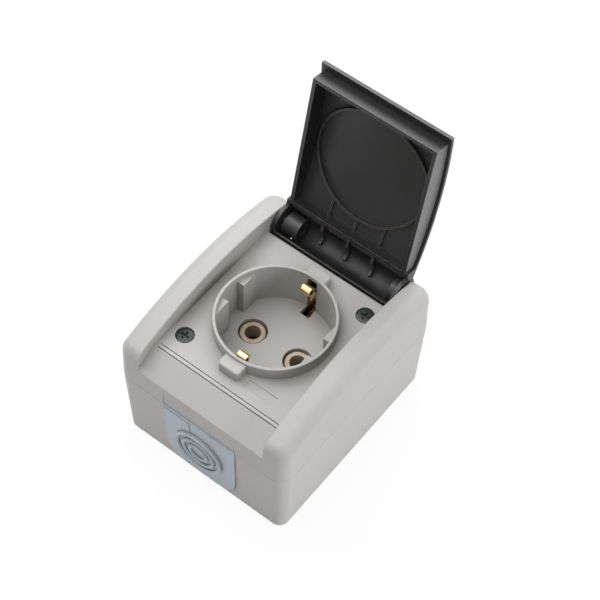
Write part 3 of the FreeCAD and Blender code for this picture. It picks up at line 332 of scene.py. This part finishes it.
def soft_rubber(name, dark, light, fold_shade, roughness):
    """Rubber with a slightly greasy sheen, and painted shade down in its folds."""
    m = Finish(name)
    cloud = m.noise(size_mm=6.0, detail=3.0, rough=0.5)
    grain = m.noise(size_mm=0.3, detail=2.0, rough=0.5)
    # Painted shade: the colour goes to the dark shade colour down in the folds
    in_light = m.ramp(m.recess(reach_mm=2.5), low=0.25, high=0.85)
    face = m.blend(m.ramp(cloud, low=0.35, high=0.65), dark, light)
    m.feed("Base Color", m.blend(in_light, fold_shade, face))
    m.feed("Roughness", (cloud - 0.5) * 0.2 + roughness)
    m.relief(grain, depth_mm=0.02, strength=0.3, soft_mm=0.12)
    return m


def grommet_rubber(name):
    """Blue-grey rubber of the cable entry."""
    return soft_rubber(name, dark=rgb(0.40, 0.44, 0.49), light=rgb(0.44, 0.48, 0.53),
                       fold_shade=rgb(0.16, 0.18, 0.21), roughness=0.48)


def gasket_rubber(name):
    """Black rubber of the gasket and the screw seals."""
    return soft_rubber(name, dark=rgb(0.010, 0.010, 0.010), light=rgb(0.022, 0.022, 0.022),
                       fold_shade=rgb(0.006, 0.006, 0.006), roughness=0.6)


MAKERS = {
    "body_grey": body_plastic,
    "lid_anthracite": lid_plastic,
    "grommet_blue_grey": grommet_rubber,
    "gasket_black": gasket_rubber,
    "contact_brass": contact_brass,
    "fixing_steel": fixing_steel,
    "screw_black": screw_black,
    "carrier_cream": carrier_cream,
}
FINISHES = {slot: make(slot).material for slot, make in MAKERS.items()}
SLOT_OF = {entry["node"]: entry["material_slot"] for entry in frame["record"]["subparts"]}
BODY_OF = {node: body for body, nodes in frame["record"]["behaviour"]["bodies"].items() for node in nodes}


def dress(mesh, node):
    """Give a mesh the finish of its solid."""
    mesh.materials.clear()
    mesh.materials.append(FINISHES[SLOT_OF[node]])


def add_to_scene(thing):
    bpy.context.scene.collection.objects.link(thing)


def smooth_skin(node):
    """Stand for a solid with a merged copy of its surface, shaded smooth between its creases."""
    work = bmesh.new()
    work.from_mesh(frame["nodes"][node].data)
    bmesh.ops.remove_doubles(work, verts=work.verts, dist=MERGE_GAP)
    for face in work.faces:
        face.smooth = True
    for edge in work.edges:
        edge.smooth = len(edge.link_faces) == 2 and edge.calc_face_angle(0.0) < math.radians(SMOOTH_BEND)
    mesh = bpy.data.meshes.new(node + "_skin")
    work.to_mesh(mesh)
    work.free()
    dress(mesh, node)
    skin = bpy.data.objects.new(node + "_skin", mesh)
    add_to_scene(skin)
    weigh = skin.modifiers.new("face weights", "WEIGHTED_NORMAL")
    weigh.keep_sharp = True
    weigh.weight = 80
    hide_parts(node)
    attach(skin, BODY_OF[node])


def stage_floor():
    """Wide pale floor that reads white to the eye and keeps a faint shadow."""
    mesh = bpy.data.meshes.new("studio_floor")
    turns = ((-1, -1), (1, -1), (1, 1), (-1, 1))
    corners = [(x * FLOOR_REACH, y * FLOOR_REACH, -FLOOR_DROP) for x, y in turns]
    mesh.from_pydata(corners, [], [(0, 1, 2, 3)])
    floor = bpy.data.objects.new("studio_floor", mesh)
    add_to_scene(floor)
    m = Finish("studio_floor", Roughness=0.9, Base_Color=rgb(0.86, 0.86, 0.86))
    glow = m.node("ShaderNodeEmission", {}, {"Color": WHITE, "Strength": 1.0})
    layers = {0: m.seen() * FLOOR_WHITE_SHARE, 1: m.out(m.surface), 2: m.out(glow)}
    mix = m.node("ShaderNodeMixShader", {}, layers)
    m.put(m.tree.nodes["Material Output"].inputs["Surface"], m.out(mix))
    mesh.materials.append(m.material)


def studio_world():
    """White surroundings: full white to the eye, in gloss and through glass, much softer as light."""
    world = bpy.data.worlds.new("studio")
    world.use_nodes = True
    w = Nodes(world.node_tree)
    back = w.tree.nodes["Background"]
    w.put(back.inputs["Color"], WHITE)
    w.put(back.inputs["Strength"], w.seen() * (1.0 - WORLD_LIGHT) + WORLD_LIGHT)
    bpy.context.scene.world = world


def soft_lamp(name, place, side, power, in_gloss):
    """Square studio lamp aimed at the socket."""
    data = bpy.data.lights.new(name, "AREA")
    data.shape = "SQUARE"
    data.size = side
    data.energy = power
    lamp = bpy.data.objects.new(name, data)
    lamp.location = place
    lamp.rotation_euler = (Vector(LAMP_AIM) - Vector(place)).to_track_quat("-Z", "Y").to_euler()
    lamp.visible_glossy = in_gloss
    add_to_scene(lamp)


def photo_camera():
    """Camera of the photograph, with its roll and the small offset of its centre."""
    az, el, roll = (math.radians(v) for v in (AZIMUTH, ELEVATION, ROLL))
    back = Vector((math.sin(az) * math.cos(el), -math.cos(az) * math.cos(el), math.sin(el)))
    level_right = (-back).cross(Vector((0, 0, 1))).normalized()
    level_up = level_right.cross(-back)
    right = math.cos(roll) * level_right + math.sin(roll) * level_up
    up = -math.sin(roll) * level_right + math.cos(roll) * level_up
    target = Vector((0, 0, TARGET_HEIGHT)) + TARGET_RIGHT * level_right + TARGET_UP * level_up
    eye = (target + back * DISTANCE) * MM
    data = bpy.data.cameras.new("photo_camera")
    data.sensor_width = SENSOR_WIDTH
    data.lens = FOCAL_PX / FRAME_PX * SENSOR_WIDTH
    data.shift_x = (FRAME_PX / 2 - CENTRE_X_PX) / FRAME_PX
    data.shift_y = (CENTRE_Y_PX - FRAME_PX / 2) / FRAME_PX
    data.clip_start = 0.01
    camera = bpy.data.objects.new("photo_camera", data)
    camera.matrix_world = Matrix.Translation(eye) @ Matrix((right, up, back)).transposed().to_4x4()
    add_to_scene(camera)
    bpy.context.scene.camera = camera


for node, solid in frame["nodes"].items():
    dress(solid.data, node)
for node in SHOWN_SOLIDS:
    smooth_skin(node)
stage_floor()
studio_world()
for lamp_settings in STUDIO_LAMPS:
    soft_lamp(*lamp_settings)
photo_camera()
bpy.context.scene.view_settings.view_transform = "Standard"
